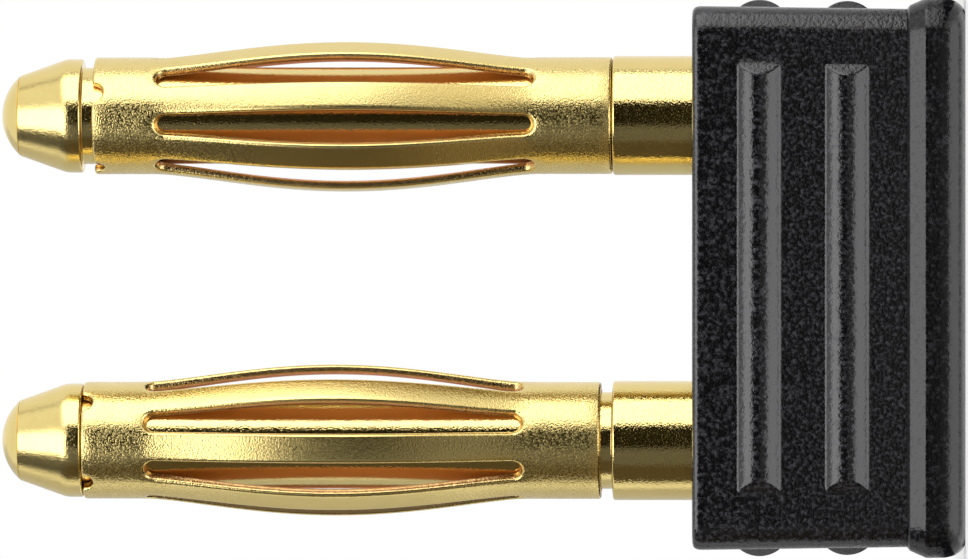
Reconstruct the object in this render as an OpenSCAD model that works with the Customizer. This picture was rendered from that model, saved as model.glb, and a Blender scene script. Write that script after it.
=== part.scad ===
// Two-pin shorting plug: two turned pins carry bowed spring sleeves and are bridged inside a ribbed grip.
// Sizes are in millimetres. The plug stands on the flat back of its end cap at Z = 0, pins up along Z.
// X runs along the row of pins and Y through the thickness of the grip.

/* [Pins] */
// Distance between the two pin axes
pin_pitch = 10; // [9:0.1:20]
// Diameter of the neck that the spring sleeve turns on
neck_d = 2.98; // [2.6:0.02:3.6]
// Length of the neck from the collar to the nose
neck_len = 16.32; // [13:0.02:22]
// Step from the neck out to the collar
collar_step = 0.345; // [0.25:0.005:0.6]
// Length of collar in front of the grip
collar_len = 2.49; // [1:0.01:5]
// Step from the collar in to the shank that the front wall is moulded round
shank_step = 0.2; // [0.16:0.01:0.5]
// Bevel on the rims of the collar and the nose
rim_bevel = 0.08; // [0.02:0.01:0.15]
// Step from the neck out to the nose
nose_step = 0.26; // [0.2:0.01:0.5]
// Length of the nose
nose_len = 2.53; // [1.9:0.01:3.2]
// Straight band at the rear of the nose
band_len = 0.52; // [0.3:0.02:0.9]
// Half angle of the nose cone
cone_angle = 19.7; // [12:0.1:24]
// Height of the domed tip
tip_h = 0.57; // [0.4:0.01:0.9]
// Lip of the pin head behind the front wall of the housing
head_lip = 0.5; // [0.3:0.05:1]
// Thickness of the pin head
head_t = 1; // [0.6:0.1:2]
// Diameter of the tenon through the bar
tenon_d = 2.2; // [1.6:0.1:2.6]
// Lip of the riveted end of the tenon over the bar
rivet_lip = 0.5; // [0.3:0.05:0.7]
// Thickness of the riveted end
rivet_t = 0.5; // [0.3:0.05:0.9]

/* [Spring sleeves] */
// Thickness of the sheet
sheet_t = 0.26; // [0.15:0.01:0.35]
// Bevel on the end edges of the sheet
edge_bevel = 0.05; // [0.02:0.01:0.07]
// Radial running clearance between sleeve and neck
run_clear = 0.05; // [0.02:0.01:0.1]
// End play of a sleeve along its neck
end_play = 0.38; // [0.1:0.02:0.6]
// Gap at the end where a sleeve is pushed home
seat_gap = 0.02; // [0.01:0.01:0.05]
// Plain land at the nose end
front_land = 1.9; // [1.2:0.1:3]
// Plain land at the collar end
rear_land = 2.35; // [1.2:0.05:3]
// Number of spring leaves
leaf_count = 7; // [5:1:8]
// Width of a leaf
leaf_w = 0.88; // [0.6:0.02:1]
// How far the leaves bow out at the middle
bow = 0.52; // [0.2:0.02:0.9]
// Open seam of the rolled sheet
seam_gap = 0.3; // [0.1:0.05:0.5]
// Number of notches in the nose end
notch_count = 4; // [2:1:6]
// Radius of a notch
notch_r = 0.33; // [0.15:0.01:0.5]
// Turn from the seam to the first notch, in degrees
notch_turn = 49; // [0:1:90]
// Direction of the seam of sleeve A, in degrees
seam_turn_a = 155; // [0:1:360]
// Direction of the seam of sleeve B, in degrees
seam_turn_b = 84; // [0:1:360]

/* [Grip] */
// Wall around the pocket at its mouth
wall = 0.73; // [0.5:0.01:1.5]
// Room around the pin heads and the bar in the pocket
pocket_clear = 0.15; // [0.05:0.05:0.4]
// Thickness of the wall that the pins pass through
front_wall = 3; // [2.6:0.1:5]
// Radial clearance of the shank in the front wall
bore_clear = 0.03; // [0.01:0.01:0.1]
// Draft of the outer faces, in degrees
draft = 0.78; // [0:0.01:2]
// Radius of the long edges
corner_r = 0.8; // [0.4:0.05:1.5]
// Radius of the edge round the mating face
face_r = 0.35; // [0.1:0.05:0.4]

/* [Ribs] */
// Distance from the mating face to the middle of the first rib
rib_first = 2.02; // [1.2:0.02:2.6]
// Distance from rib to rib
rib_step = 2.68; // [1.6:0.02:3]
// Number of ribs on each side
rib_count = 2; // [1:1:2]
// Width of a rib at the face
rib_w = 1.35; // [0.8:0.05:1.5]
// How far a rib stands proud
rib_proud = 0.25; // [0.1:0.01:0.35]
// Distance from a rib's end to the edge of its face
rib_inset = 1.67; // [1:0.01:2.4]
// Length of the bevel at a rib's end
rib_bevel = 0.3; // [0.1:0.05:0.6]

/* [End cap] */
// Thickness of the flange
cap_t = 1.78; // [1.5:0.01:3]
// How far the flange stands proud of the housing
cap_proud = 0.33; // [0.1:0.01:0.8]
// Length of the flange's rounded shoulder next to the housing
cap_shoulder = 0.6; // [0.2:0.05:0.7]
// How far the shoulder runs in under the housing
cap_seat = 0.04; // [0.02:0.01:0.1]
// Depth of the rounding of the flange's edge round its back
cap_back_r = 0.5; // [0.3:0.05:0.7]
// Length of that rounding along the flange
cap_back_len = 0.75; // [0.3:0.05:0.8]
// Height of the spigot that enters the housing and backs the bar
spigot_h = 1.35; // [1:0.01:3]
// Clearance of the spigot in the pocket
spigot_clear = 0.05; // [0.02:0.01:0.15]
// Room around the riveted pin ends
rivet_room = 0.2; // [0.1:0.05:0.4]

/* [Shorting bar] */
// Thickness of the bar
bar_t = 1.2; // [0.6:0.1:2]
// Clearance of the tenons in the bar
tenon_clear = 0.02; // [0.01:0.01:0.1]

/* [Hidden] */
$fn = 96;
// Fineness of the rounded shells and of the bowed sheet
hull_fn = 32;
edge_steps = 8;
bow_steps = 28;
// Powers of the moulded edges round the mating face and the flange: a circle has 2, and more is squarer
face_power = 2.5;
cap_power = 2;
// Power that fills out the bow, between a plain cosine at 1 and a raised cosine at 2
bow_power = 4 / 3;
// How far a cut runs past the faces that it opens
over = 1;

neck_r = neck_d / 2;
collar_r = neck_r + collar_step;
nose_r = neck_r + nose_step;
shank_r = collar_r - shank_step;
head_r = collar_r + head_lip;
tenon_r = tenon_d / 2;
rivet_r = tenon_r + rivet_lip;

// Heights, from the flat back up to the tips
bar_z = cap_t + spigot_h;
head_z = bar_z + bar_t;
wall_z = head_z + head_t;
mate_z = wall_z + front_wall;
collar_z = mate_z + collar_len;
nose_z = collar_z + neck_len;
tip_z = nose_z + nose_len;

// The dome meets the cone at its rim, so its radius follows from the two
tip_rim_r = nose_r - (nose_len - band_len - tip_h) * tan(cone_angle);
tip_r = (tip_rim_r ^ 2 + tip_h ^ 2) / (2 * tip_h);

// Housing: the distance from a pin axis to the outer face grows with the draft towards the mating face
pocket_r = head_r + pocket_clear;
function margin_at(z) = pocket_r + wall + (z - cap_t) * tan(draft);
rib_r = (rib_w ^ 2 / 4 + rib_proud ^ 2) / (2 * rib_proud);
cap_margin = margin_at(cap_t) + cap_proud;
cap_corner_r = corner_r + cap_proud;

// Spring sleeves, measured from the collar end
bore_r = neck_r + run_clear;
sleeve_r = bore_r + sheet_t;
crest_r = sleeve_r + bow;
sleeve_len = neck_len - end_play;
slot_len = sleeve_len - front_land - rear_land;
seam_angle = seam_gap / (bore_r + sheet_t / 2) * 180 / PI;
leaf_angle = (360 - seam_angle) / leaf_count;

// Puts a part on one of the two pin axes
module at_pin(side) {
    translate([side * pin_pitch / 2, 0, 0]) children();
}

// Upright block with a round end about each pin axis
module obround(r, z, h) {
    for (side = [-1, 1]) at_pin(side) translate([0, 0, z]) cylinder(h = h, r = r);
    translate([-pin_pitch / 2, -r, z]) cube([pin_pitch, 2 * r, h]);
}

// Rounded edge as points from its lower to its upper face, about the middle of its height.
// The rounding takes edge off the radius and rise off the height, above and below.
function edge_line(corner, edge, rise, power) = [
    for (i = [-edge_steps : edge_steps])
        let (a = 90 * abs(i) / edge_steps, p = 2 / power)
        [corner - edge + edge * cos(a) ^ p, sign(i) * rise * sin(a) ^ p]];

// Ring at each corner of a box that reaches margin beyond the pin axes, with its outside at radius corner
module corner_rings(margin, corner, edge, rise, power, z) {
    for (x = [-1, 1], y = [-1, 1])
        translate([x * (pin_pitch / 2 + margin - corner), y * (margin - corner), z])
            rotate_extrude($fn = hull_fn)
                polygon(concat([[0, -rise]], edge_line(corner, edge, rise, power), [[0, rise]]));
}

// Plain disc at each corner of such a box
module corner_discs(margin, corner, z) {
    for (x = [-1, 1], y = [-1, 1])
        translate([x * (pin_pitch / 2 + margin - corner), y * (margin - corner), z])
            cylinder(h = face_r, r = corner, $fn = hull_fn);
}

// Domed rib along X with bevelled ends, on a face at the given distance from the middle of the plug
module rib(length, face) {
    half = length / 2;
    root = wall / 2;
    intersection() {
        translate([-half - over, face + rib_proud - rib_r, 0])
            rotate([0, 90, 0]) cylinder(h = length + 2 * over, r = rib_r);
        translate([0, 0, -rib_w]) linear_extrude(2 * rib_w) polygon([
            [-half, face - root], [half, face - root], [half, face],
            [half - 2 * rib_bevel, face + 2 * rib_proud],
            [-half + 2 * rib_bevel, face + 2 * rib_proud], [-half, face]]);
    }
}

// Ribs round all four sides of the housing
module ribs() {
    for (i = [0 : rib_count - 1]) {
        z = mate_z - rib_first - i * rib_step;
        margin = margin_at(z);
        reach = margin + pin_pitch / 2;
        for (turn = [0, 180]) translate([0, 0, z]) rotate(turn) rib(2 * (reach - rib_inset), margin);
        for (turn = [90, 270]) translate([0, 0, z]) rotate(turn) rib(2 * (margin - rib_inset), reach);
    }
}

// Moulded sleeve of the grip, open at the back, with a bore for each pin in its front wall
module housing() {
    color("#232428") difference() {
        union() {
            hull() {
                corner_discs(margin_at(cap_t), corner_r, cap_t);
                corner_rings(margin_at(mate_z), corner_r, face_r, face_r, face_power, mate_z - face_r);
            }
            ribs();
        }
        obround(pocket_r, cap_t - over, wall_z - cap_t + over);
        for (side = [-1, 1]) at_pin(side)
            translate([0, 0, wall_z - over]) cylinder(h = front_wall + 2 * over, r = shank_r + bore_clear);
    }
}

// Grip flange with the spigot that closes the housing, recessed over the riveted pin ends
module end_cap() {
    color("#2a2b2f") difference() {
        union() {
            hull() {
                corner_rings(cap_margin, cap_corner_r, cap_back_r, cap_back_len, cap_power, cap_back_len);
                corner_rings(cap_margin, cap_corner_r, cap_proud + cap_seat, cap_shoulder, cap_power,
                             cap_t - cap_shoulder);
            }
            obround(pocket_r - spigot_clear, cap_t / 2, spigot_h + cap_t / 2);
        }
        for (side = [-1, 1]) at_pin(side)
            translate([0, 0, bar_z - rivet_t - rivet_room])
                cylinder(h = rivet_t + rivet_room + over, r = rivet_r + rivet_room);
    }
}

// Flat bar that joins the two pins
module shorting_bar() {
    color("#c9a04a") difference() {
        obround(head_r, bar_z, bar_t);
        for (side = [-1, 1]) at_pin(side)
            translate([0, 0, bar_z - over]) cylinder(h = bar_t + 2 * over, r = tenon_r + tenon_clear);
    }
}

// Turned pin from its riveted end up to the domed tip
module contact_pin(side) {
    color("#d9b55e") at_pin(side) rotate_extrude() {
        polygon([
            [0, bar_z - rivet_t], [rivet_r - rim_bevel, bar_z - rivet_t],
            [rivet_r, bar_z - rivet_t + rim_bevel], [rivet_r, bar_z],
            [tenon_r, bar_z], [tenon_r, head_z],
            [head_r, head_z], [head_r, wall_z],
            [shank_r, wall_z], [shank_r, mate_z],
            [collar_r, mate_z], [collar_r, collar_z - rim_bevel],
            [collar_r - rim_bevel, collar_z], [neck_r, collar_z],
            [neck_r, nose_z], [nose_r - rim_bevel, nose_z],
            [nose_r, nose_z + rim_bevel], [nose_r, nose_z + band_len],
            [tip_rim_r, tip_z - tip_h], [0, tip_z - tip_h]]);
        intersection() {
            translate([0, tip_z - tip_r]) circle(tip_r);
            translate([0, tip_z - tip_h]) square([tip_rim_r, tip_h]);
        }
    }
}

// Outward bow of the sheet at a share t of the slot, from -1 at the collar end to 1 at the nose end
function bow_at(t) = bow * cos(90 * t) ^ bow_power;

// One face of the bowed sheet, as points from the collar end to the nose end.
// Both ends are bevelled towards the middle of the sheet, which lies inwards for inset 1 and outwards for -1.
function sheet_line(r, inset) = concat(
    [[r - inset * edge_bevel, 0], [r, edge_bevel]],
    [for (i = [0 : bow_steps])
        let (t = 2 * i / bow_steps - 1)
        [r + bow_at(t), rear_land + slot_len * (t + 1) / 2]],
    [[r, sleeve_len - edge_bevel], [r - inset * edge_bevel, sleeve_len]]);

function reversed(list) = [for (i = [len(list) - 1 : -1 : 0]) list[i]];

// Opening between two leaves: flat sides that leave the leaves at full width, and round ends
module slot_cutter(half_angle) {
    apex = leaf_w / 2 / sin(half_angle);
    reach = crest_r + over - apex;
    spread = reach * tan(half_angle);
    end_r = (sleeve_r - apex) * tan(half_angle);
    translate([apex, 0, rear_land]) {
        for (z = [end_r, slot_len - end_r])
            translate([0, 0, z]) rotate([0, 90, 0]) cylinder(h = reach, r1 = 0, r2 = spread);
        translate([0, 0, end_r]) linear_extrude(slot_len - 2 * end_r)
            polygon([[0, 0], [reach, -spread], [reach, spread]]);
    }
}

// Rolled and slotted spring sleeve, standing on its collar end with the seam along +X
module spring_sleeve() {
    difference() {
        rotate_extrude() polygon(concat(sheet_line(sleeve_r, 1), reversed(sheet_line(bore_r, -1))));
        slot_cutter((leaf_angle + seam_angle) / 2);
        for (i = [1 : leaf_count - 1])
            rotate(seam_angle / 2 + i * leaf_angle) slot_cutter(leaf_angle / 2);
        translate([0, -seam_gap / 2, -over]) cube([crest_r + over, seam_gap, sleeve_len + 2 * over]);
        for (i = [0 : notch_count - 1])
            rotate(notch_turn + i * 360 / notch_count) translate([0, 0, sleeve_len])
                rotate([0, 90, 0]) cylinder(h = crest_r, r = notch_r);
    }
}

// Sleeve A is pushed home against its collar, sleeve B against its nose
module spring_sleeve_a() {
    color("#e0bf6a") at_pin(1) translate([0, 0, collar_z + seat_gap])
        rotate(seam_turn_a) spring_sleeve();
}

module spring_sleeve_b() {
    color("#e0bf6a") at_pin(-1) translate([0, 0, nose_z - seat_gap - sleeve_len])
        rotate(seam_turn_b) spring_sleeve();
}

housing();
end_cap();
shorting_bar();
contact_pin(1);  // contact_pin_a
contact_pin(-1);  // contact_pin_b
spring_sleeve_a();
spring_sleeve_b();
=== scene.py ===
import math

import bmesh
import bpy
from mathutils import Matrix, Vector


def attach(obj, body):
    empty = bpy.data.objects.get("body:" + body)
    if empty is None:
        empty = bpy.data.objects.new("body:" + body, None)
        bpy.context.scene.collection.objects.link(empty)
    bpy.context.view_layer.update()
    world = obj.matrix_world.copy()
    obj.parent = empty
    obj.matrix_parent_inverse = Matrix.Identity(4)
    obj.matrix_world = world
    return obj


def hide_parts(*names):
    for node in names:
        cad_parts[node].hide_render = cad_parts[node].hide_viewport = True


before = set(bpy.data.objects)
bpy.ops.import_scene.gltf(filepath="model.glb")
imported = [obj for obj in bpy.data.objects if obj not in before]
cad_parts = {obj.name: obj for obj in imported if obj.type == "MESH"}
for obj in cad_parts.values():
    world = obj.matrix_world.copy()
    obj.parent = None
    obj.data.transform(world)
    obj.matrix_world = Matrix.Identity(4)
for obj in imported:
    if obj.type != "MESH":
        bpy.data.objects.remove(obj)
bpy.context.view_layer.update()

MM = 0.001

# The photograph's frame, in pixels
PHOTO_W = 968
PHOTO_H = 559
PX_PER_MM = 32.47
MID_LINE_PX = 278.0
# Camera, in millimetres: it stands just above the floor and looks up at the middle of the plug
CAMERA_DISTANCE = 330.0
CAMERA_Z = 1.0
AIM_Z = 14.8
SENSOR = 36.0
NEAR_CLIP = 10.0
FAR_CLIP = 10000.0

# Pin heights above the back face, in millimetres
BAR_Z = 3.13
HEAD_Z = 4.33
WALL_Z = 5.33
MATE_Z = 8.33
COLLAR_Z = 10.82
NOSE_Z = 27.14
TIP_Z = 29.67
# Pin radii and steps
PIN_X = 5.0
NECK_R = 1.49
COLLAR_R = 1.835
SHANK_R = 1.635
NOSE_R = 1.75
HEAD_R = 2.335
TENON_R = 1.1
RIVET_R = 1.6
RIVET_T = 0.5
RIM_BEVEL = 0.08
NECK_FILLET = 0.04
BAND_LEN = 0.52
CONE_FILLET = 0.8
TIP_H = 0.57
CONE_ANGLE = math.radians(19.7)
TIP_RIM_R = NOSE_R - (TIP_Z - NOSE_Z - BAND_LEN - TIP_H) * math.tan(CONE_ANGLE)
TIP_R = (TIP_RIM_R ** 2 + TIP_H ** 2) / (2 * TIP_H)
# Turned groove at the foot of the domed tip
TIP_GROOVE = 0.04
# Fineness of the turned mesh: sides, rows over the dome, degrees to a row of a fillet, fewest rows of one
PIN_SIDES = 192
DOME_STEPS = 20
ARC_STEP = 9
ARC_LEAST = 3
# Length of the short rows of faces that keep a rounding's shading out of the faces beside it
SUPPORT = 0.03
# Points that lie closer together than this, in metres, are one point
MERGE_DISTANCE = 1e-8

# Spring sleeves
BORE_R = 1.54
SHEET = 0.26
SLEEVE_R = BORE_R + SHEET
SLEEVE_LEN = 15.94
REAR_LAND = 2.35
FRONT_LAND = 1.9
SLOT_LEN = SLEEVE_LEN - REAR_LAND - FRONT_LAND
LEAF_COUNT = 7
LEAF_W = 0.88
BOW = 0.52
BOW_POWER = 4 / 3
# Share of the way from round to flat that the middle of a leaf has across its width
LEAF_FLAT = 0.8
SEAM_GAP = 0.3
SEAM_ANGLE = SEAM_GAP / (BORE_R + SHEET / 2)
LEAF_ANGLE = (2 * math.pi - SEAM_ANGLE) / LEAF_COUNT
NOTCH_COUNT = 4
NOTCH_R = 0.33
NOTCH_LIP = 0.1
NOTCH_TURN = math.radians(49)
SEAT_GAP = 0.02
SEAM_TURN = {"a": math.radians(155), "b": math.radians(84)}
SLEEVE_Z = {"a": COLLAR_Z + SEAT_GAP, "b": NOSE_Z - SEAT_GAP - SLEEVE_LEN}
# Rounding of the sheet's edges, outside and inside
EDGE_OUT = 0.08
EDGE_IN = 0.04
# Points along a leaf and across an end, and the length over which they close up towards the slots' ends
ALONG = 160
ACROSS = 40
SKEW = 1.5
# Rows of faces over the edge, and from there to the middle line of a leaf, outside and inside
EDGE_OUT_ROWS = 4
EDGE_IN_ROWS = 2
FACE_OUT_ROWS = 6
FACE_IN_ROWS = 3
# Trial points along the nose end, and the angle over which its slope is taken
END_TRIALS = 2000
SLOPE_STEP = 0.002
# Edges that turn by more than this stay sharp
SHARP_ANGLE = math.radians(40)

# Moulded grip: margins are distances from the pin axes to the outer faces
CAP_T = 1.78
POCKET_R = 2.485
FOOT_MARGIN = 3.215
TOP_MARGIN = 3.304
CORNER_R = 0.8
FACE_R = 0.35
FACE_POWER = 3.5
BORE_CLEAR = 0.03
# Ribs, with the softness of their edges
RIB_Z = (3.6, 6.28)
RIB_W = 1.29
RIB_PROUD = 0.25
RIB_R = (RIB_W ** 2 / 4 + RIB_PROUD ** 2) / (2 * RIB_PROUD)
RIB_INSET = 1.76
RIB_BEVEL = 0.29
RIB_SOFT = 0.045
# Spacing of the mesh along a side: wide in the middle, close from before the end of a rib to just past it,
# and one last place clear of it
SIDE_STEP = 1.0
RIB_END_STEP = 0.025
RIB_END_BEFORE = 0.5
RIB_END_PAST = 0.06
RIB_END_CLEAR = 0.3
# Spacing of the mesh up a side: wide between the ribs, close in a zone to each side of a rib's middle line
WALL_STEP = 0.25
RIB_STEP = 0.0375
RIB_ZONE = 0.75
# Flange: depth, height and rounding of the corners of its shoulder, and its rounded back edge
CAP_PROUD = 0.33
SHOULDER = ((0, 0.9, 0), (0, 1.2, 0.2), (0.22, 1.69, 0.08), (0.335, CAP_T, 0))
BACK_DEPTH = 0.5
BACK_LEN = 0.75
SPIGOT_R = 2.435
RECESS_R = 1.8
RECESS_DEPTH = 0.7
# Straight part of a flange side beyond the pin axes
CAP_STRAIGHT = 2.0
# Steps round a corner of the grip, and over a rounded edge
CORNER_STEPS = 16
EDGE_STEPS = 14
# Outward and onward directions of the four sides, in order round the grip
SIDES = (((0, -1), (1, 0)), ((1, 0), (0, 1)), ((0, 1), (-1, 0)), ((-1, 0), (0, -1)))

# Gold plate on the outside, and a redder gold painted on the sleeves' inner face, standing in for light
# bounced between the gold faces
GOLD_DEEP = (0.75, 0.585, 0.215)
GOLD_PALE = (0.83, 0.665, 0.275)
PAINTED_BOUNCE_GOLD = (1.0, 0.57, 0.42)
# Sheared edges of the sheet
GOLD_CUT = (0.68, 0.46, 0.2)
# Depths into the sheet, as shares, over which it takes on the colour of the cut edge, the painted bounce
# colour of the inner face, and the dullness of the inner face
CUT_DEPTH = (0.2, 0.35)
PAINTED_BOUNCE_DEPTH = (0.85, 0.95)
DULL_DEPTH = (0.8, 1)
# Added roughness of the pin's nose, of the sheet's inner face, and of the worn middle of its leaves
NOSE_ROUGH = 0.09
INSIDE_ROUGH = 0.42
LEAF_ROUGH = 0.04
# Share of the grain that is worn off the bowed middle of the leaves
LEAF_WORN = 0.65
# Range of the gold's grain, and the least and most roughness over it, as shares of the polish
GRAIN_RANGE = (0.35, 0.65)
GRAIN_LEAST = 0.5
GRAIN_MOST = 1.6
# Size of the drift of the gold's colour, and of the lathe lines, in millimetres
DRIFT_MM = 0.8
LATHE_MM = 0.05
# Black plastic: ground colour, range of the grain that makes specks, what a speck adds to the roughness,
# how much bluer it is, and the size of the surface's swell in millimetres
BLACK = (0.0012, 0.0012, 0.002)
SPECK_RANGE = (0.47, 0.8)
SPECK_ROUGH = 0.3
SPECK_BLUE = 1.3
SWELL_MM = 0.4
# Weight of the finer detail in each noise
NOISE_ROUGH = 0.6

# Studio, in metres. Strength of the white surroundings as light: where they are seen it is 1
WORLD_LIGHT = 0.6
# Floor: half its width, distances between which it fades to white, shades, roughness
FLOOR_REACH = 0.5
FLOOR_FADE = (0.05, 0.28)
FLOOR_DARK = (0.92, 0.92, 0.92)
FLOOR_PALE = (0.95, 0.95, 0.95)
FLOOR_ROUGH = 0.9
# Size of the faint mottle of the floor, cards and panels, in millimetres, and its depth on the cards
MOTTLE_MM = 20.0
MOTTLE = 0.1
# Softboxes: name, centre, target, width, height, radiance
SOFTBOXES = (
    ("side_softbox", (0.303, -0.175, 0.105), (0, 0, 0.105), 0.42, 0.21, 1.85),
    ("top_softbox", (-0.082, -0.305, 0.261), (0, 0, 0.015), 0.41, 0.30, 2.2))
# Bright panels below the plug: level, half length, then name, far edge, near edge, strength
LOW_Z = -0.047
PANEL_HALF = 0.05
PANELS = (("rib_panel", -0.096, -0.018, 2.4), ("foot_panel", -0.005, 0.04, 2.2))
# Steps round a bent card, and the lower and upper edges of the cards as (radius, height) pairs
CARD_STEPS = 24
LOW_RING = ((0.096, LOW_Z), (0.096, 0.0))
BOWL_RING = ((0.096, 0.0), (0.096, 0.051))
HIGH_RING = ((0.096, 0.051), (0.096, 0.16))
BACK_RING = ((0.12, 0.0006), (0.12, 0.16))
EDGE_RING = ((0.34, 0.0006), (0.34, 0.3))
# Cards: name, edges, first and last angle, shade, tint, whether it glows
WHITE = (1, 1, 1)
CARDS = (
    ("front_card", BOWL_RING, -29.5, 17, 0.02, (1.0, 0.82, 0.35), False),
    ("side_card", BOWL_RING, 17, 50, 0.17, WHITE, False),
    ("far_side_card", BOWL_RING, 50, 88, 0.11, (1.0, 0.8, 0.5), False),
    ("low_right_card", LOW_RING, -75, -24, 0.95, (1.0, 0.93, 0.78), True),
    ("low_front_card", LOW_RING, -24, 30, 0.3, (1.0, 0.97, 0.9), True),
    ("low_side_card", LOW_RING, 30, 88, 0.3, (1.0, 0.76, 0.45), True),
    ("high_card", HIGH_RING, 38, 86, 0.08, WHITE, False),
    ("back_card", BACK_RING, 105, 172, 0.55, WHITE, False),
    ("edge_card", EDGE_RING, -95.5, -90.5, 0.03, WHITE, False))
# Dark flags just below the floor: level, shade, then name, reach along X, reach along Y
FLAG_Z = -0.0002
FLAG_SHADE = 0.04
FLAGS = (
    # The flag under the plug is painted shade: in reflections it stands in for the floor in the plug's shadow
    ("under_shade_flag", (-0.0084, 0.0084), (-0.0024, 0.0034)),
    ("back_flag", (-0.045, 0.045), (0.0045, 0.045)),
    ("right_flag", (0.0095, 0.045), (-0.02, 0.0045)),
    ("left_flag", (-0.045, -0.0095), (-0.02, 0.0045)))


# Camera, rolled so that the pins point to the left of the picture
def add_camera():
    data = bpy.data.cameras.new("camera")
    camera = bpy.data.objects.new("camera", data)
    bpy.context.scene.collection.objects.link(camera)
    mid_x = (MID_LINE_PX - PHOTO_H / 2) / PX_PER_MM
    aim = Vector((mid_x, 0, AIM_Z)) * MM
    place = Vector((mid_x, -CAMERA_DISTANCE, CAMERA_Z)) * MM
    back = (place - aim).normalized()
    up = Vector((1, 0, 0))
    rotation = Matrix((up.cross(back), up, back)).transposed()
    camera.matrix_world = Matrix.Translation(place) @ rotation.to_4x4()
    data.sensor_width = SENSOR
    data.sensor_fit = "HORIZONTAL"
    data.lens = SENSOR * (place - aim).length / (PHOTO_W / PX_PER_MM * MM)
    data.clip_start = NEAR_CLIP * MM
    data.clip_end = FAR_CLIP * MM
    bpy.context.scene.camera = camera


# Meshes, from millimetres
def add_piece(name, build):
    """Smooth piece from a builder, with its sharp edges kept."""
    shape = bmesh.new()
    build(shape)
    bmesh.ops.remove_doubles(shape, verts=shape.verts, dist=MERGE_DISTANCE)
    bmesh.ops.recalc_face_normals(shape, faces=shape.faces)
    mesh = bpy.data.meshes.new(name)
    shape.to_mesh(mesh)
    shape.free()
    for face in mesh.polygons:
        face.use_smooth = True
    mesh.set_sharp_from_angle(angle=SHARP_ANGLE)
    piece = bpy.data.objects.new(name, mesh)
    bpy.context.scene.collection.objects.link(piece)
    return piece


def stitch(shape, rings, closed):
    """Quads between rings of points in millimetres."""
    rows = [[shape.verts.new(Vector(point) * MM) for point in ring] for ring in rings]
    count = len(rows[0])
    for lower, upper in zip(rows, rows[1:]):
        for i in range(count if closed else count - 1):
            j = (i + 1) % count
            shape.faces.new((lower[i], lower[j], upper[j], upper[i]))
    return rows


def fill(shape, *loops):
    """Flat face inside the first loop, with a hole inside each of the others."""
    edges = []
    for loop in loops:
        for a, b in zip(loop, loop[1:] + loop[:1]):
            edges.append(shape.edges.get((a, b)) or shape.edges.new((a, b)))
    bmesh.ops.triangle_fill(shape, edges=edges, use_beauty=True)


# Pins
def rounded(corners):
    """Profile line through (radius, height, fillet) corners, each fillet as an arc."""
    line = []
    for i, (r, z, fillet) in enumerate(corners):
        here = Vector((r, z))
        if not fillet:
            line.append(here)
            continue
        before = (Vector(corners[i - 1][:2]) - here).normalized()
        after = (Vector(corners[i + 1][:2]) - here).normalized()
        half = before.angle(after) / 2
        reach = fillet / math.tan(half)
        middle = here + (before + after).normalized() * (fillet / math.sin(half))
        start = here + before * reach - middle
        end = here + after * reach - middle
        steps = max(ARC_LEAST, round(math.degrees(start.angle(end)) / ARC_STEP))
        line.append(here + before * (reach + SUPPORT))
        line += [middle + start.slerp(end, k / steps).normalized() * fillet for k in range(steps + 1)]
        line.append(here + after * (reach + SUPPORT))
    return line


def pin_profile():
    """Radius and height of a pin's outline, from the riveted end to the tip."""
    bottom = BAR_Z - RIVET_T
    corners = [
        (0, bottom, 0), (RIVET_R, bottom, RIM_BEVEL), (RIVET_R, BAR_Z, 0), (TENON_R, BAR_Z, 0),
        (TENON_R, HEAD_Z, 0), (HEAD_R, HEAD_Z, 0), (HEAD_R, WALL_Z, 0), (SHANK_R, WALL_Z, 0),
        (SHANK_R, MATE_Z, 0), (COLLAR_R, MATE_Z, 0), (COLLAR_R, COLLAR_Z, RIM_BEVEL),
        (NECK_R, COLLAR_Z, NECK_FILLET), (NECK_R, NOSE_Z, NECK_FILLET), (NOSE_R, NOSE_Z, RIM_BEVEL),
        (NOSE_R, NOSE_Z + BAND_LEN, CONE_FILLET), (TIP_RIM_R, TIP_Z - TIP_H, 0)]
    line = rounded(corners)
    rim = line.pop()
    line.append(rim + (line[-1] - rim).normalized() * SUPPORT)
    line.append(rim)
    line.append(rim + Vector((-TIP_GROOVE, TIP_GROOVE / 2)))
    foot = math.asin(TIP_RIM_R / TIP_R) - TIP_GROOVE / TIP_R
    angles = [foot, foot - SUPPORT / TIP_R]
    angles += [foot * (1 - k / DOME_STEPS) for k in range(1, DOME_STEPS + 1)]
    for a in angles:
        line.append(Vector((TIP_R * math.sin(a), TIP_Z - TIP_R + TIP_R * math.cos(a))))
    return line


def pin_builder(side):
    """Builder of the turned pin on one side of the plug."""
    def build(shape):
        rings = [circle_ring(side * PIN_X, r, z) for r, z in pin_profile()]
        stitch(shape, rings, True)
    return build


# Moulded grip
def spread(first, last, step):
    """Evenly spaced places from first to last, about a step apart."""
    count = max(1, round((last - first) / step))
    return [first + (last - first) * k / count for k in range(count + 1)]


def side_places(margin):
    """Places along a straight side, close together where the ribs end."""
    end = margin - RIB_INSET
    close = end - RIB_END_BEFORE
    half = spread(0, close, SIDE_STEP)[:-1]
    half += spread(close, end + RIB_END_PAST, RIB_END_STEP)
    half.append(end + RIB_END_CLEAR)
    return [-place for place in reversed(half[1:])] + half


def box_ring(margin, corner, z, places, proud=None):
    """Ring round a box with rounded corners that encloses both pins."""
    ring = []
    for normal, along in SIDES:
        depth = margin + PIN_X * abs(normal[0])
        length = margin + PIN_X * abs(along[0])
        points = []
        for place in places[abs(along[0])]:
            rib = proud(length, place, z) if proud else 0.0
            points.append((depth + rib, place))
        for k in range(CORNER_STEPS + 1):
            turn = math.pi / 2 * k / CORNER_STEPS
            out = depth - corner * (1 - math.cos(turn))
            on = length - corner * (1 - math.sin(turn))
            points.append((out, on))
        for out, on in points:
            ring.append((normal[0] * out + along[0] * on, normal[1] * out + along[1] * on, z))
    return ring


def circle_ring(x, radius, z):
    """Ring about an axis that stands at x."""
    turns = [2 * math.pi * k / PIN_SIDES for k in range(PIN_SIDES)]
    return [(x + radius * math.cos(t), radius * math.sin(t), z) for t in turns]


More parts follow.
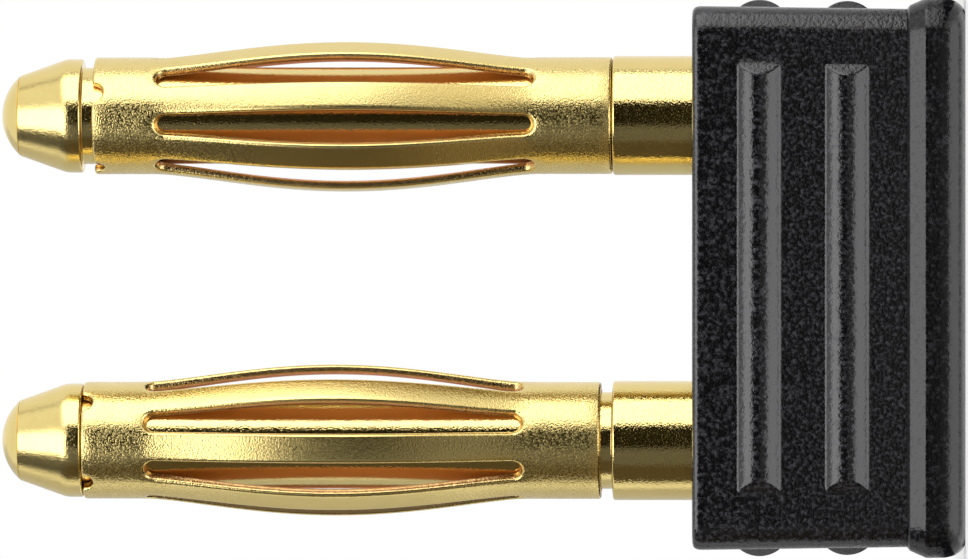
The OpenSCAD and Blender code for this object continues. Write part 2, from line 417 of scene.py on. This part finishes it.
def obround_ring(radius, z):
    """Ring with a round end about each pin axis."""
    ring = []
    for x, first in ((PIN_X, -math.pi / 2), (-PIN_X, math.pi / 2)):
        turns = [first + math.pi * k / PIN_SIDES for k in range(PIN_SIDES + 1)]
        ring += [(x + radius * math.cos(t), radius * math.sin(t), z) for t in turns]
    return ring


def soft_min(a, b):
    """The smaller of two heights, with a soft change from one to the other."""
    return min(a, b) - max(RIB_SOFT - abs(a - b), 0) ** 2 / (4 * RIB_SOFT)


def rib_height(length, place, z):
    """How far a rib stands out of a side of a half length: domed, with bevelled ends and soft edges."""
    ramp_up = (length - RIB_INSET - abs(place)) * RIB_PROUD / RIB_BEVEL
    for middle in RIB_Z:
        if abs(z - middle) < RIB_W:
            across = min(abs(z - middle), RIB_R)
            dome = math.sqrt(RIB_R ** 2 - across ** 2) - RIB_R + RIB_PROUD
            return -soft_min(-soft_min(dome, ramp_up), 0.0)
    return 0.0


def housing_heights(top):
    """Rows of the housing's wall, close together across the ribs."""
    rows = []
    z = CAP_T
    for middle in RIB_Z:
        rows += spread(z, middle - RIB_ZONE, WALL_STEP)[:-1]
        rows += spread(middle - RIB_ZONE, middle + RIB_ZONE, RIB_STEP)[:-1]
        z = middle + RIB_ZONE
    return rows + spread(z, top, WALL_STEP)


def build_housing(shape):
    """Ribbed wall with a slight draft and a rounded front edge, a pocket, and a bore for each pin."""
    top = MATE_Z - FACE_R
    places = {1: side_places(PIN_X + FOOT_MARGIN), 0: side_places(FOOT_MARGIN)}
    rings = []
    for z in housing_heights(top):
        margin = FOOT_MARGIN + (TOP_MARGIN - FOOT_MARGIN) * (z - CAP_T) / (top - CAP_T)
        rings.append(box_ring(margin, CORNER_R, z, places, rib_height))
    for k in range(1, EDGE_STEPS + 1):
        turn = math.pi / 2 * k / EDGE_STEPS
        inset = FACE_R * (1 - abs(math.cos(turn)) ** (2 / FACE_POWER))
        z = top + FACE_R * math.sin(turn) ** (2 / FACE_POWER)
        rings.append(box_ring(TOP_MARGIN - inset, CORNER_R - inset, z, places))
    inset = FACE_R + SUPPORT
    rings.append(box_ring(TOP_MARGIN - inset, CORNER_R - inset, MATE_Z, places))
    outside = stitch(shape, rings, True)
    pocket = stitch(shape, [obround_ring(POCKET_R, WALL_Z), obround_ring(POCKET_R, CAP_T)], True)
    radius = SHANK_R + BORE_CLEAR
    bores = [stitch(shape, [circle_ring(x, radius, MATE_Z), circle_ring(x, radius, WALL_Z)], True)
             for x in (-PIN_X, PIN_X)]
    fill(shape, outside[-1], bores[0][0], bores[1][0])
    fill(shape, pocket[0], bores[0][1], bores[1][1])
    fill(shape, outside[0], pocket[1])


def build_cap(shape):
    """Flange with a rounded back edge and a shoulder, a spigot, and a recess for each riveted end."""
    margin = FOOT_MARGIN + CAP_PROUD
    corner = CORNER_R + CAP_PROUD
    reach = PIN_X + CAP_STRAIGHT
    places = {1: spread(-reach, reach, SIDE_STEP), 0: spread(-CAP_STRAIGHT, CAP_STRAIGHT, SIDE_STEP)}
    turns = [math.pi / 2 * k / EDGE_STEPS for k in range(EDGE_STEPS + 1)]
    line = [(BACK_DEPTH + SUPPORT, 0)]
    line += [(BACK_DEPTH * (1 - math.sin(t)), BACK_LEN * (1 - math.cos(t))) for t in turns]
    line += rounded(SHOULDER)
    rings = [box_ring(margin - inset, corner - inset, z, places) for inset, z in line]
    outside = stitch(shape, rings, True)
    spigot = stitch(shape, [obround_ring(SPIGOT_R, CAP_T), obround_ring(SPIGOT_R, BAR_Z)], True)
    recesses = []
    for x in (-PIN_X, PIN_X):
        rings = [circle_ring(x, RECESS_R, z) for z in (BAR_Z, BAR_Z - RECESS_DEPTH)]
        recesses.append(stitch(shape, rings, True))
    fill(shape, outside[0])
    fill(shape, outside[-1], spigot[0])
    fill(shape, spigot[1], recesses[0][0], recesses[1][0])
    for recess in recesses:
        fill(shape, recess[1])


# Spring sleeves: angles run round the pin from the seam, heights from the collar end
def bow_at(z):
    """How far the leaves stand out at a height."""
    t = 2 * (z - REAR_LAND) / SLOT_LEN - 1
    if abs(t) >= 1:
        return 0.0
    return BOW * math.cos(math.pi / 2 * t) ** BOW_POWER


def leaf_share(z):
    """How far a height lies towards the bowed middle of the leaves: 0 on the lands, 1 at the crest."""
    return 1 - (1 - bow_at(z) / BOW) ** 2


def flatter(angle, z):
    """Extra radius, as a share of the radius, that makes a leaf flatter across than the round sleeve."""
    turn = (angle % (2 * math.pi) - SEAM_ANGLE / 2) / LEAF_ANGLE
    return LEAF_FLAT * leaf_share(z) * (1 / math.cos((turn % 1 - 0.5) * LEAF_ANGLE) - 1)


def notch_at(angle):
    """Depth of the nose end at an angle: round notches with rounded lips."""
    reach = math.sqrt((NOTCH_R + NOTCH_LIP) ** 2 - NOTCH_LIP ** 2)
    for i in range(NOTCH_COUNT):
        turn = angle - NOTCH_TURN - i * 2 * math.pi / NOTCH_COUNT
        side = abs(SLEEVE_R * math.sin(turn))
        if math.cos(turn) < 0 or side >= reach:
            continue
        if side < reach * NOTCH_R / (NOTCH_R + NOTCH_LIP):
            return math.sqrt(NOTCH_R ** 2 - side ** 2)
        return NOTCH_LIP - math.sqrt(NOTCH_LIP ** 2 - (reach - side) ** 2)
    return 0.0


def end_steps(first, last):
    """Angles at even distances along the nose end, notches included."""
    fine = [first + (last - first) * k / END_TRIALS for k in range(END_TRIALS + 1)]
    length = [0.0]
    for a, b in zip(fine, fine[1:]):
        length.append(length[-1] + math.hypot((b - a) * SLEEVE_R, notch_at(b) - notch_at(a)))
    picked = []
    for k in range(ACROSS + 1):
        goal = length[-1] * k / ACROSS
        picked.append(fine[min(range(len(fine)), key=lambda i: abs(length[i] - goal))])
    return picked


class Slot:
    """Opening between two leaves: flat sides that leave the leaves at full width, and round ends."""

    def __init__(self, centre, half):
        self.centre = centre
        self.half = half
        self.apex = LEAF_W / 2 / math.sin(half)
        self.end_r = (SLEEVE_R - self.apex) * math.tan(half)
        self.low = REAR_LAND + self.end_r
        self.high = REAR_LAND + SLOT_LEN - self.end_r

    def edge(self, share, rise, z):
        """Edge point by depth: share is the part of the full half width, rise that of the end."""
        def at(depth):
            radius = SLEEVE_R + depth + bow_at(z + rise * self.end_r)
            q = math.tan(self.half) * abs(share)
            lean = math.atan(q) - math.asin(self.apex * q / (radius * math.sqrt(1 + q * q)))
            reach = (radius * math.cos(lean) - self.apex) * math.tan(self.half)
            return self.centre + math.copysign(lean, share), z + rise * reach
        return at

    def side_z(self, z):
        """Height on the slot's side that faces a height on the middle line of the leaf."""
        if z < self.low + SKEW:
            return self.low + self.squeeze(z, self.low)
        if z > self.high - SKEW:
            return self.high - self.squeeze(SLEEVE_LEN - z, SLEEVE_LEN - self.high)
        return z

    @staticmethod
    def squeeze(distance, land):
        """Distance along the slot's side for a distance from the sleeve's end."""
        span = land + SKEW
        return SKEW * (distance / span) ** (span / SKEW)


def end_edge(angle, top):
    """Point on an end of the sleeve, the same at every depth."""
    z = SLEEVE_LEN - notch_at(angle) if top else 0.0
    return lambda depth: (angle, z)


def leaf_line(angle, margin):
    """Points up the middle line of a leaf, from a margin inside one end to the other."""
    top = SLEEVE_LEN - notch_at(angle) - margin
    return [(angle, margin + (top - margin) * i / (ALONG - 1)) for i in range(ALONG)]


def inward(samples, towards, closed):
    """Unit directions from an edge into the sheet, in the unrolled sheet."""
    flat = [(a * SLEEVE_R, z) for a, z in (sample(0.0) for sample in samples)]
    count = len(flat)
    result = []
    for i in range(count):
        before = flat[i - 1] if closed or i else flat[0]
        after = flat[(i + 1) % count] if closed or i + 1 < count else flat[-1]
        along = Vector(after) - Vector(before)
        normal = Vector((-along.y, along.x)).normalized()
        goal = Vector((towards[i][0] * SLEEVE_R, towards[i][1])) - Vector(flat[i])
        result.append(normal if normal.dot(goal) > 0 else -normal)
    if not closed:
        result[0] = Vector((0.0, 1.0))
        result[-1] = Vector((0.0, -1.0))
    return result


def rim_rings(samples, normals):
    """Rings of (angle, height, depth) over the rounded edge of the sheet, from outer to inner face."""
    rings = []
    for radius, steps, outer in ((EDGE_OUT, EDGE_OUT_ROWS, True), (EDGE_IN, EDGE_IN_ROWS, False)):
        for k in range(steps + 1):
            psi = math.pi / 2 * (1 - k / steps if outer else k / steps)
            sink = radius * (1 - math.sin(psi))
            depth = -sink if outer else sink - SHEET
            push = radius * (1 - math.cos(psi))
            ring = []
            for sample, normal in zip(samples, normals):
                a, z = sample(depth)
                ring.append((a + push * normal.x / SLEEVE_R, z + push * normal.y, depth))
            rings.append(ring)
    return rings


def face_rings(start, end, steps, depth):
    """Rings between two rings of points on one face of the sheet."""
    return [[(p[0] + (q[0] - p[0]) * k / steps, p[1] + (q[1] - p[1]) * k / steps, depth)
             for p, q in zip(start, end)] for k in range(1, steps)]


def band(samples, outer, inner, closed):
    """Sheet from the outer points on its outer face, over the edge, to the inner points on its inner face."""
    normals = inward(samples, outer, closed)
    rim = rim_rings(samples, normals)
    rings = [[(a, z, 0.0) for a, z in outer]]
    rings += face_rings(outer, rim[0], FACE_OUT_ROWS, 0.0)
    rings += rim
    rings += face_rings(rim[-1], inner, FACE_IN_ROWS, -SHEET)
    rings.append([(a, z, -SHEET) for a, z in inner])
    return rings


def lift(ring, place):
    """Ring of (angle, height, depth) set in space."""
    return [place(a, z, depth) for a, z, depth in ring]


def slot_cell(shape, slot, place):
    """Sheet round a slot, out to the middle lines of the leaves beside it."""
    left = slot.centre - slot.half
    right = slot.centre + slot.half
    sides = [slot.side_z(SLEEVE_LEN * i / (ALONG - 1)) for i in range(ALONG)]
    turns = [math.pi * k / ACROSS for k in range(1, ACROSS)]
    samples = [slot.edge(1, 0, z) for z in sides]
    samples += [slot.edge(math.cos(t), math.sin(t), slot.high) for t in turns]
    samples += [slot.edge(-1, 0, z) for z in reversed(sides)]
    samples += [slot.edge(-math.cos(t), -math.sin(t), slot.low) for t in turns]
    high_steps = end_steps(right, left)
    low_steps = [left + (right - left) * k / ACROSS for k in range(ACROSS + 1)]
    targets = {}
    for margin in (EDGE_OUT, EDGE_IN):
        targets[margin] = leaf_line(right, margin)
        targets[margin] += end_points(high_steps, True, margin)[1:-1]
        targets[margin] += leaf_line(left, margin)[::-1]
        targets[margin] += end_points(low_steps, False, margin)[1:-1]
    rings = band(samples, targets[EDGE_OUT], targets[EDGE_IN], True)
    stitch(shape, [lift(ring, place) for ring in rings], True)
    for angles, top in ((high_steps, True), (low_steps, False)):
        edges = [end_edge(a, top) for a in angles]
        rim = rim_rings(edges, end_normals(angles, top))
        stitch(shape, [lift(ring, place) for ring in rim], False)


def end_normals(angles, top):
    """Directions from an end edge into the sheet, straight along the pin where the edge is plain."""
    result = []
    for a in angles:
        rise = notch_at(a + SLOPE_STEP) - notch_at(a - SLOPE_STEP)
        slope = rise / (2 * SLOPE_STEP * SLEEVE_R)
        normal = Vector((-slope, -1.0)) if top else Vector((0.0, 1.0))
        result.append(normal.normalized())
    result[0] = result[-1] = Vector((0.0, -1.0 if top else 1.0))
    return result


def end_points(angles, top, margin):
    """Points along an end of the sleeve, a margin in from its edge."""
    points = []
    for a, normal in zip(angles, end_normals(angles, top)):
        _, z = end_edge(a, top)(0.0)
        points.append((a + margin * normal.x / SLEEVE_R, z + margin * normal.y))
    return points


def seam_path(slot, side, top):
    """Edge of half the seam: from a leaf's middle line along the end, the seam and the slot's side."""
    sign = 1 if top else -1
    end = slot.high if top else slot.low
    leaf = side * slot.half
    seam = side * math.asin(SEAM_GAP / 2 / SLEEVE_R)
    reach = (math.sqrt(SLEEVE_R ** 2 - SEAM_GAP ** 2 / 4) - slot.apex) * math.tan(slot.half)
    first = math.acos(SEAM_GAP / 2 / reach)
    start = SLEEVE_LEN - notch_at(seam) if top else 0.0
    stop = end + sign * reach * math.sin(first)

    def along_end(f):
        return end_edge(leaf + (seam - leaf) * f, top)

    def along_seam(f):
        z = start + (stop - start) * f
        return lambda depth: (side * math.asin(SEAM_GAP / 2 / (SLEEVE_R + depth)), z)

    def along_arc(f):
        turn = first * (1 - f)
        edge = slot.edge(side * math.cos(turn), sign * math.sin(turn), end)

        def at(depth):
            angle, z = edge(depth)
            least = math.asin(SEAM_GAP / 2 / (SLEEVE_R + depth))
            return side * max(abs(angle), least), z
        return at

    def along_side(f):
        return slot.edge(side, 0, end - sign * SKEW * f)

    lengths = (SLEEVE_R * abs(seam - leaf), abs(stop - start), first * reach, SKEW)
    return list(zip(lengths, (along_end, along_seam, along_arc, along_side)))


def walk(path, share):
    """Point at a share of a path's length."""
    left = share * sum(length for length, _ in path)
    for length, piece in path[:-1]:
        if left <= length:
            return piece(left / length)
        left -= length
    return path[-1][1](min(left / path[-1][0], 1.0))


def seam_strip(shape, slot, side, place):
    """Sheet on one side of the seam, out to the middle line of the next leaf."""
    low = seam_path(slot, side, False)
    high = seam_path(slot, side, True)
    samples = []
    for i in range(ALONG):
        z = SLEEVE_LEN * i / (ALONG - 1)
        if z < slot.low + SKEW:
            samples.append(walk(low, z / (slot.low + SKEW)))
        elif z > slot.high - SKEW:
            samples.append(walk(high, (SLEEVE_LEN - z) / (SLEEVE_LEN - slot.high + SKEW)))
        else:
            samples.append(slot.edge(side, 0, z))
    leaf = side * slot.half
    rings = band(samples, leaf_line(leaf, EDGE_OUT), leaf_line(leaf, EDGE_IN), False)
    stitch(shape, [lift(ring, place) for ring in rings], False)


def sleeve_builder(name):
    """Builder of a sleeve, from a cell round each slot and the two sides of the seam."""
    side = 1 if name == "a" else -1

    def place(angle, z, depth):
        radius = (SLEEVE_R + bow_at(z)) * (1 + flatter(angle, z)) + depth
        turn = SEAM_TURN[name] + angle
        return (side * PIN_X + radius * math.cos(turn), radius * math.sin(turn), SLEEVE_Z[name] + z)

    def build(shape):
        for i in range(1, LEAF_COUNT):
            slot_cell(shape, Slot(SEAM_ANGLE / 2 + i * LEAF_ANGLE, LEAF_ANGLE / 2), place)
        for half in (-1, 1):
            seam_strip(shape, Slot(0.0, (LEAF_ANGLE + SEAM_ANGLE) / 2), half, place)
    return build


# Materials
def new_material(name):
    material = bpy.data.materials.new(name)
    material.use_nodes = True
    tree = material.node_tree
    return material, tree, tree.nodes["Principled BSDF"]


def add_node(tree, kind, **values):
    node = tree.nodes.new(kind)
    for key, value in values.items():
        if key in node.inputs:
            node.inputs[key].default_value = value
        else:
            setattr(node, key, value)
    return node


def noise(tree, size_mm, detail=3.0, axes=(1, 1, 1)):
    """Noise of a grain size, the same along each axis that is 0."""
    coordinates = add_node(tree, "ShaderNodeTexCoord")
    kept = add_node(tree, "ShaderNodeVectorMath", operation="MULTIPLY")
    kept.inputs[1].default_value = axes
    texture = add_node(tree, "ShaderNodeTexNoise", Detail=detail, Roughness=NOISE_ROUGH)
    texture.inputs["Scale"].default_value = 1 / (size_mm * MM)
    tree.links.new(coordinates.outputs["Object"], kept.inputs[0])
    tree.links.new(kept.outputs[0], texture.inputs["Vector"])
    return texture.outputs["Fac"]


def ramp(tree, source, low, high, start, end):
    """Value that goes from start to end while the source goes from low to high."""
    node = add_node(tree, "ShaderNodeMapRange")
    node.inputs["From Min"].default_value = low
    node.inputs["From Max"].default_value = high
    node.inputs["To Min"].default_value = start
    node.inputs["To Max"].default_value = end
    tree.links.new(source, node.inputs["Value"])
    return node.outputs["Result"]


def mix_colour(tree, factor, a, b):
    """Mix of two colours, each of them a triple or a socket."""
    node = add_node(tree, "ShaderNodeMix", data_type="RGBA")
    for socket, colour in ((node.inputs[6], a), (node.inputs[7], b)):
        if isinstance(colour, tuple):
            socket.default_value = (*colour, 1)
        else:
            tree.links.new(colour, socket)
    tree.links.new(factor, node.inputs[0])
    return node.outputs[2]


def mix_value(tree, factor, a, b):
    """Mix of a socket's value and a number."""
    node = add_node(tree, "ShaderNodeMix", data_type="FLOAT")
    tree.links.new(factor, node.inputs[0])
    tree.links.new(a, node.inputs[2])
    node.inputs[3].default_value = b
    return node.outputs[0]


def bump(tree, height, distance_mm, below=None):
    """Normal of a surface with a height field, over the normal below it."""
    node = add_node(tree, "ShaderNodeBump", Distance=distance_mm * MM, Strength=1.0)
    tree.links.new(height, node.inputs["Height"])
    if below:
        tree.links.new(below, node.inputs["Normal"])
    return node.outputs["Normal"]


def height_above_back(tree):
    """Height above the plug's back face, in metres."""
    place = add_node(tree, "ShaderNodeTexCoord")
    split = add_node(tree, "ShaderNodeSeparateXYZ")
    tree.links.new(place.outputs["Object"], split.inputs[0])
    return split.outputs["Z"]


def total(tree, a, b):
    """Sum of two sockets' values."""
    node = add_node(tree, "ShaderNodeMath", operation="ADD")
    tree.links.new(a, node.inputs[0])
    tree.links.new(b, node.inputs[1])
    return node.outputs[0]


def gold(name, polish, grain_mm, grain_depth_mm, lathe_depth_mm):
    """Gold plate: colour drifts a little, a fine grain sparkles, lathe lines run round the pin."""
    material, tree, shader = new_material(name)
    shader.inputs["Metallic"].default_value = 1.0
    colour = mix_colour(tree, noise(tree, DRIFT_MM), GOLD_DEEP, GOLD_PALE)
    inside = add_node(tree, "ShaderNodeAttribute", attribute_name="inside").outputs["Fac"]
    leaf = add_node(tree, "ShaderNodeAttribute", attribute_name="leaf").outputs["Fac"]
    colour = mix_colour(tree, ramp(tree, inside, *CUT_DEPTH, 0, 1), colour, GOLD_CUT)
    # The inner face is painted a redder gold: a painted reflection of light bounced between the gold faces
    colour = mix_colour(tree, ramp(tree, inside, *PAINTED_BOUNCE_DEPTH, 0, 1), colour, PAINTED_BOUNCE_GOLD)
    tree.links.new(colour, shader.inputs["Base Color"])
    grain = noise(tree, grain_mm, 1.0)
    rough = ramp(tree, grain, *GRAIN_RANGE, polish * GRAIN_LEAST, polish * GRAIN_MOST)
    worn = ramp(tree, leaf, 0, 1, 0, LEAF_WORN)
    rough = mix_value(tree, worn, rough, polish + LEAF_ROUGH)
    rough = total(tree, rough, ramp(tree, inside, *DULL_DEPTH, 0, INSIDE_ROUGH))
    nose_band = (NOSE_Z * MM, (NOSE_Z + BAND_LEN) * MM)
    rough = total(tree, rough, ramp(tree, height_above_back(tree), *nose_band, 0, NOSE_ROUGH))
    tree.links.new(rough, shader.inputs["Roughness"])
    lines = bump(tree, noise(tree, LATHE_MM, 2.0, (0, 0, 1)), lathe_depth_mm)
    relief = bump(tree, grain, grain_depth_mm, lines)
    tree.links.new(ramp(tree, worn, 0, 1, 1, 0), relief.node.inputs["Strength"])
    tree.links.new(relief, shader.inputs["Normal"])
    return material


def black_plastic(name, rough, shine, grain_mm, grain_depth_mm, speck):
    """Moulded plastic with a soft spark-eroded grain, whose highest specks are dull and paler."""
    material, tree, shader = new_material(name)
    grain = noise(tree, grain_mm, 2.0)
    specks = ramp(tree, grain, *SPECK_RANGE, 0, 1)
    colour = mix_colour(tree, specks, BLACK, (speck, speck, speck * SPECK_BLUE))
    tree.links.new(colour, shader.inputs["Base Color"])
    tree.links.new(ramp(tree, specks, 0, 1, rough, rough + SPECK_ROUGH), shader.inputs["Roughness"])
    shader.inputs["Specular IOR Level"].default_value = shine
    swell = bump(tree, noise(tree, SWELL_MM, 2.0), grain_depth_mm / 2)
    tree.links.new(bump(tree, grain, grain_depth_mm, swell), shader.inputs["Normal"])
    return material


def mark_sheet(sleeve, name, side):
    """At each point, the share of the way to the sheet's inner face, and to the crest of a leaf."""
    mesh = sleeve.data
    mesh.attributes.new("inside", "FLOAT", "POINT")
    mesh.attributes.new("leaf", "FLOAT", "POINT")
    for i, vertex in enumerate(mesh.vertices):
        x, y, z = vertex.co / MM
        z -= SLEEVE_Z[name]
        angle = math.atan2(y, x - side * PIN_X) - SEAM_TURN[name]
        outer = (SLEEVE_R + bow_at(z)) * (1 + flatter(angle, z))
        depth = (outer - math.hypot(x - side * PIN_X, y)) / SHEET
        mesh.attributes["inside"].data[i].value = min(max(depth, 0.0), 1.0)
        mesh.attributes["leaf"].data[i].value = leaf_share(z)


def paint(thing, material):
    thing.data.materials.clear()
    thing.data.materials.append(material)


# Studio: pale floor, white surroundings, softboxes, and cards, panels and flags that only reflections see
def add_world():
    world = bpy.data.worlds.new("studio")
    world.use_nodes = True
    bpy.context.scene.world = world
    tree = world.node_tree
    background = tree.nodes["Background"]
    path = add_node(tree, "ShaderNodeLightPath")
    seen = add_node(tree, "ShaderNodeMath", operation="MAXIMUM")
    tree.links.new(path.outputs["Is Camera Ray"], seen.inputs[0])
    tree.links.new(path.outputs["Is Glossy Ray"], seen.inputs[1])
    both = add_node(tree, "ShaderNodeMath", operation="MAXIMUM")
    tree.links.new(seen.outputs[0], both.inputs[0])
    tree.links.new(path.outputs["Is Transmission Ray"], both.inputs[1])
    strength = ramp(tree, both.outputs[0], 0, 1, WORLD_LIGHT, 1.0)
    tree.links.new(strength, background.inputs["Strength"])
    background.inputs["Color"].default_value = (1, 1, 1, 1)


def link_mesh(name, vertices, faces):
    """Studio mesh, in metres."""
    mesh = bpy.data.meshes.new(name)
    mesh.from_pydata(vertices, [], faces)
    thing = bpy.data.objects.new(name, mesh)
    bpy.context.scene.collection.objects.link(thing)
    return thing


def link_rectangle(name, x_range, y_range, z):
    """Level studio rectangle, in metres."""
    (x0, x1), (y0, y1) = x_range, y_range
    return link_mesh(name, [(x0, y0, z), (x1, y0, z), (x1, y1, z), (x0, y1, z)], [(0, 1, 2, 3)])


def add_floor():
    """Pale floor that keeps the plug's shadow. Further out it fades to white where the camera sees it."""
    reach = (-FLOOR_REACH, FLOOR_REACH)
    floor = link_rectangle("floor", reach, reach, 0)
    material, tree, shader = new_material("floor")
    place = add_node(tree, "ShaderNodeTexCoord").outputs["Object"]
    distance = add_node(tree, "ShaderNodeVectorMath", operation="LENGTH")
    tree.links.new(place, distance.inputs[0])
    fade = add_node(tree, "ShaderNodeMath", operation="MULTIPLY")
    tree.links.new(ramp(tree, distance.outputs["Value"], *FLOOR_FADE, 0, 1), fade.inputs[0])
    tree.links.new(add_node(tree, "ShaderNodeLightPath").outputs["Is Camera Ray"], fade.inputs[1])
    pale = mix_colour(tree, noise(tree, MOTTLE_MM), FLOOR_DARK, FLOOR_PALE)
    tree.links.new(mix_colour(tree, fade.outputs[0], pale, (0.0, 0.0, 0.0)), shader.inputs["Base Color"])
    shader.inputs["Emission Color"].default_value = (1, 1, 1, 1)
    tree.links.new(fade.outputs[0], shader.inputs["Emission Strength"])
    shader.inputs["Roughness"].default_value = FLOOR_ROUGH
    floor.data.materials.append(material)
    floor.visible_glossy = False


def add_softbox(name, centre, target, width, height, radiance):
    """Area lamp that faces a target, unseen by the camera."""
    data = bpy.data.lights.new(name, "AREA")
    data.shape = "RECTANGLE"
    data.size = width
    data.size_y = height
    data.energy = radiance * math.pi * width * height
    lamp = bpy.data.objects.new(name, data)
    bpy.context.scene.collection.objects.link(lamp)
    direction = Vector(target) - Vector(centre)
    lamp.location = centre
    lamp.rotation_euler = direction.to_track_quat("-Z", "Y").to_euler()
    lamp.visible_camera = False


def hide_from_all_but_reflections(thing):
    thing.visible_camera = False
    thing.visible_shadow = False
    thing.visible_diffuse = False
    thing.visible_transmission = False


def add_card(name, ring, first, last, shade, tint, lit):
    """Card bent round the plug from first to last, in degrees from the camera's side towards -X."""
    vertices = []
    for radius, z in ring:
        for i in range(CARD_STEPS + 1):
            turn = math.radians(first + (last - first) * i / CARD_STEPS)
            vertices.append((-radius * math.sin(turn), -radius * math.cos(turn), z))
    row = CARD_STEPS + 1
    faces = [(i, i + 1, row + i + 1, row + i) for i in range(CARD_STEPS)]
    finish_card(link_mesh(name, vertices, faces), shade, tint, lit)


def add_flag(name, x_range, y_range):
    """Dark flag that lies level with the floor."""
    finish_card(link_rectangle(name, x_range, y_range, FLAG_Z), FLAG_SHADE, WHITE, True)


def finish_card(card, shade, tint, lit):
    """Dull card of a shade, which glows by itself where it is lit."""
    material, tree, shader = new_material(card.name)
    dark = tuple(shade * (1 - MOTTLE) * part for part in tint)
    pale = tuple(shade * (1 + MOTTLE) * part for part in tint)
    colour = mix_colour(tree, noise(tree, MOTTLE_MM), dark, pale)
    tree.links.new(colour, shader.inputs["Emission Color" if lit else "Base Color"])
    if lit:
        shader.inputs["Base Color"].default_value = (0, 0, 0, 1)
        shader.inputs["Emission Strength"].default_value = 1.0
    shader.inputs["Roughness"].default_value = 1.0
    shader.inputs["Specular IOR Level"].default_value = 0.0
    card.data.materials.append(material)
    hide_from_all_but_reflections(card)


def add_reflector(name, far, near, strength):
    """Bright panel below the plug that lights its undersides, seen by reflections only."""
    strip = link_rectangle(name, (-PANEL_HALF, PANEL_HALF), (far, near), LOW_Z)
    material, tree, shader = new_material(name)
    shader.inputs["Base Color"].default_value = (0, 0, 0, 1)
    shader.inputs["Emission Strength"].default_value = strength
    colour = mix_colour(tree, noise(tree, MOTTLE_MM), FLOOR_PALE, WHITE)
    tree.links.new(colour, shader.inputs["Emission Color"])
    strip.data.materials.append(material)
    hide_from_all_but_reflections(strip)


def add_studio():
    add_world()
    add_floor()
    for panel in PANELS:
        add_reflector(*panel)
    for softbox in SOFTBOXES:
        add_softbox(*softbox)
    for card in CARDS:
        add_card(*card)
    for flag in FLAGS:
        add_flag(*flag)


add_camera()
add_studio()

body_plastic = black_plastic(
    "body_plastic", rough=0.16, shine=0.7, grain_mm=0.12, grain_depth_mm=0.014, speck=0.035)
cap_plastic = black_plastic(
    "cap_plastic", rough=0.17, shine=0.5, grain_mm=0.12, grain_depth_mm=0.01, speck=0.016)
for node, label, slot, build, finish in (
        ("housing", "moulded_housing", "grip_body", build_housing, body_plastic),
        ("end_cap", "moulded_cap", "grip_cap", build_cap, cap_plastic)):
    moulding = add_piece(label, build)
    paint(moulding, finish)
    paint(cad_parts[node], finish)
    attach(moulding, "plug")
    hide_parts(node)
bar_metal = gold("bar", polish=0.3, grain_mm=0.2, grain_depth_mm=0.002, lathe_depth_mm=0.0)
paint(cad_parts["shorting_bar"], bar_metal)
for name, side in (("a", 1), ("b", -1)):
    pin = add_piece(f"turned_pin_{name}", pin_builder(side))
    pin_gold = gold(f"pin_{name}", polish=0.09, grain_mm=0.055, grain_depth_mm=0.006, lathe_depth_mm=0.0006)
    paint(pin, pin_gold)
    paint(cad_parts[f"contact_pin_{name}"], pin_gold)
    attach(pin, "plug")
    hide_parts(f"contact_pin_{name}")
    sheet = add_piece(f"sheet_sleeve_{name}", sleeve_builder(name))
    mark_sheet(sheet, name, side)
    sheet_gold = gold(f"sleeve_{name}", polish=0.2, grain_mm=0.055, grain_depth_mm=0.01, lathe_depth_mm=0.0)
    paint(sheet, sheet_gold)
    paint(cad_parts[f"spring_sleeve_{name}"], sheet_gold)
    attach(sheet, f"sleeve_{name}")
    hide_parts(f"spring_sleeve_{name}")

scene = bpy.context.scene
scene.view_settings.view_transform = "Standard"
bpy.context.view_layer.update()
